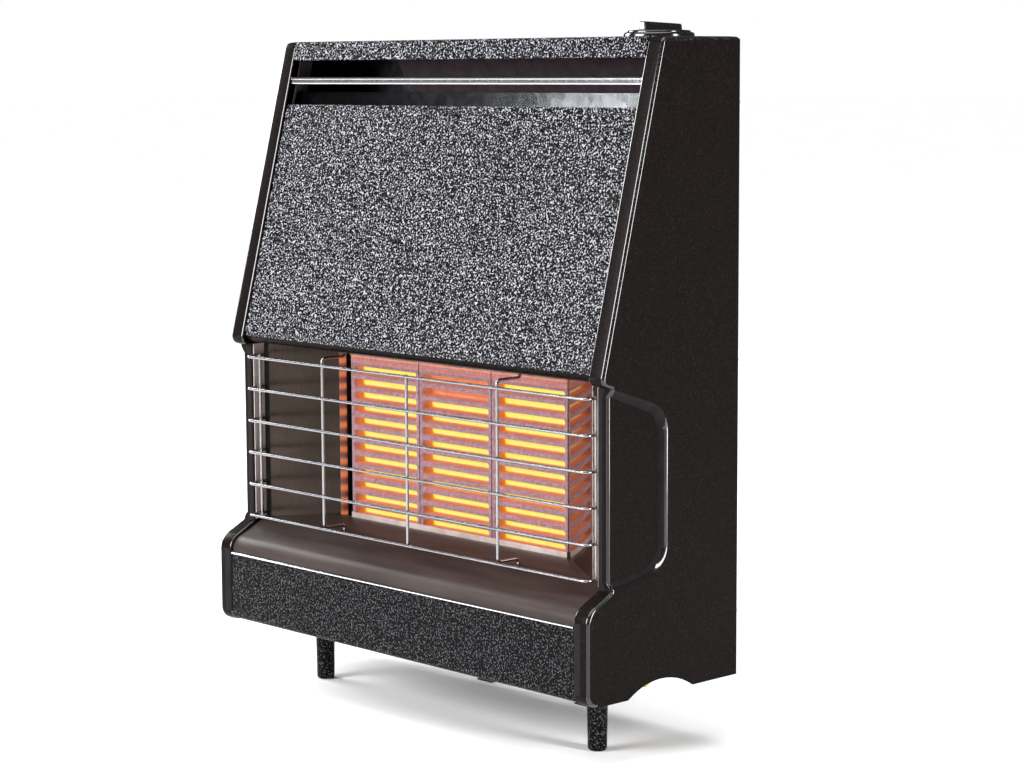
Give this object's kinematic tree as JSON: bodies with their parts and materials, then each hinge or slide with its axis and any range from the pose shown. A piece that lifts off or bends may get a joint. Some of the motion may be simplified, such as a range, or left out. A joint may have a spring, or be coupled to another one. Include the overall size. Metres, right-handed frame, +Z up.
{
  "type": "gas fire",
  "caption": "Outset gas fire with a sloping hammered canopy, ceramic radiants behind a wrap-round wire guard, a warm-air louvre, a push-and-turn knob, front feet and a rear flue spigot.",
  "frame": {"origin": "middle of the whole fire's footprint on the hearth, under its feet", "axes": "+X to the right as seen from the front, +Y towards the wall and along the flue spigot, +Z up"},
  "size_m": [0.54, 0.23, 0.6747],
  "materials": {
    "hammered_black": "hammer-finish stoved enamel",
    "matt_black": "matt black paint",
    "bright_trim": "bright chromium plate",
    "polished_blade": "polished steel",
    "brown_enamel": "glossy brown vitreous enamel",
    "guard_wire": "plated steel wire",
    "zinc_steel": "zinc-coated sheet",
    "clay_radiant": "fired fireclay, glowing",
    "reflector": "polished sheet, heat tinted",
    "heat_steel": "aluminised sheet, heat darkened",
    "insulation": "pressed mineral fibre",
    "gasket": "woven fibre",
    "spigot_steel": "aluminised sheet",
    "brass": "turned brass",
    "gas_pipe": "drawn soft copper",
    "small_steel": "zinc plate",
    "white_plastic": "moulded",
    "black_plastic": "moulded",
    "lead_rubber": "silicone sleeve",
    "electrode_ceramic": "glazed"
  },
  "bodies": {
    "root": {"side_panel_left": "hammered_black", "side_panel_right": "hammered_black", "top_panel": "hammered_black", "canopy_panel": "hammered_black", "plinth_panel": "hammered_black", "louvre_liner": "matt_black", "air_deflector": "matt_black", "louvre_bar": "bright_trim", "plinth_trim": "bright_trim", "louvre_blade": "polished_blade", "fender": "brown_enamel", "guard_bars": "guard_wire", "guard_uprights": "guard_wire", "back_panel": "zinc_steel", "foot_rail": "zinc_steel", "chassis_brackets": "zinc_steel", "injector_bracket": "zinc_steel", "tap_bracket": "zinc_steel", "pilot_bracket": "zinc_steel", "radiant_left": "clay_radiant", "radiant_centre": "clay_radiant", "radiant_right": "clay_radiant", "reflector_left": "reflector", "reflector_right": "reflector", "reflector_hood": "reflector", "radiant_ledge": "heat_steel", "radiant_retainer": "heat_steel", "burner_tray": "heat_steel", "firebox": "heat_steel", "heat_exchanger": "heat_steel", "exchanger_baffle": "heat_steel", "burner": "heat_steel", "burner_legs": "heat_steel", "insulation_board": "insulation", "flue_gasket": "gasket", "flue_spigot": "spigot_steel", "injector": "brass", "inlet_elbow": "brass", "inlet_nut": "brass", "gas_tap": "brass", "pilot_burner": "brass", "pipe_nuts": "brass", "burner_pipe": "gas_pipe", "supply_pipe": "gas_pipe", "pilot_pipe": "gas_pipe", "thermocouple": "gas_pipe", "foot_nuts": "small_steel", "case_screws": "small_steel", "spigot_screws": "small_steel", "dial_plate": "black_plastic", "piezo_igniter": "black_plastic", "ignition_lead": "lead_rubber", "spark_electrode": "electrode_ceramic"},
    "tap_turn": {"tap_cam": "white_plastic", "tap_spring": "small_steel"},
    "knob": {"control_knob": "black_plastic", "control_spindle": "small_steel"},
    "foot_left": {"foot_left": "hammered_black"},
    "foot_right": {"foot_right": "hammered_black"},
    "isolator": {"isolator_screw": "small_steel"}
  },
  "joints": [
    {"name": "knob_turn", "type": "hinge", "parent": "root", "child": "tap_turn", "pos_m": [0.217, 0.032, 0.625], "axis": [0, 0, 1], "range_deg": [0, 225]},
    {"name": "knob_push", "type": "slide", "parent": "tap_turn", "child": "knob", "axis": [0, 0, -1], "range_m": [0, 0.003], "stiffness_N_per_m": 1000, "springref_m": -0.004, "deforming": ["tap_spring"]},
    {"name": "foot_left_level", "type": "slide", "parent": "root", "child": "foot_left", "axis": [0, 0, -1], "range_m": [-0.006, 0.006]},
    {"name": "foot_right_level", "type": "slide", "parent": "root", "child": "foot_right", "axis": [0, 0, -1], "range_m": [-0.006, 0.006]},
    {"name": "isolator_turn", "type": "hinge", "parent": "root", "child": "isolator", "pos_m": [0.2125, -0.017, 0.0705], "axis": [0, -1, 0], "range_deg": [0, 90]}
  ]
}
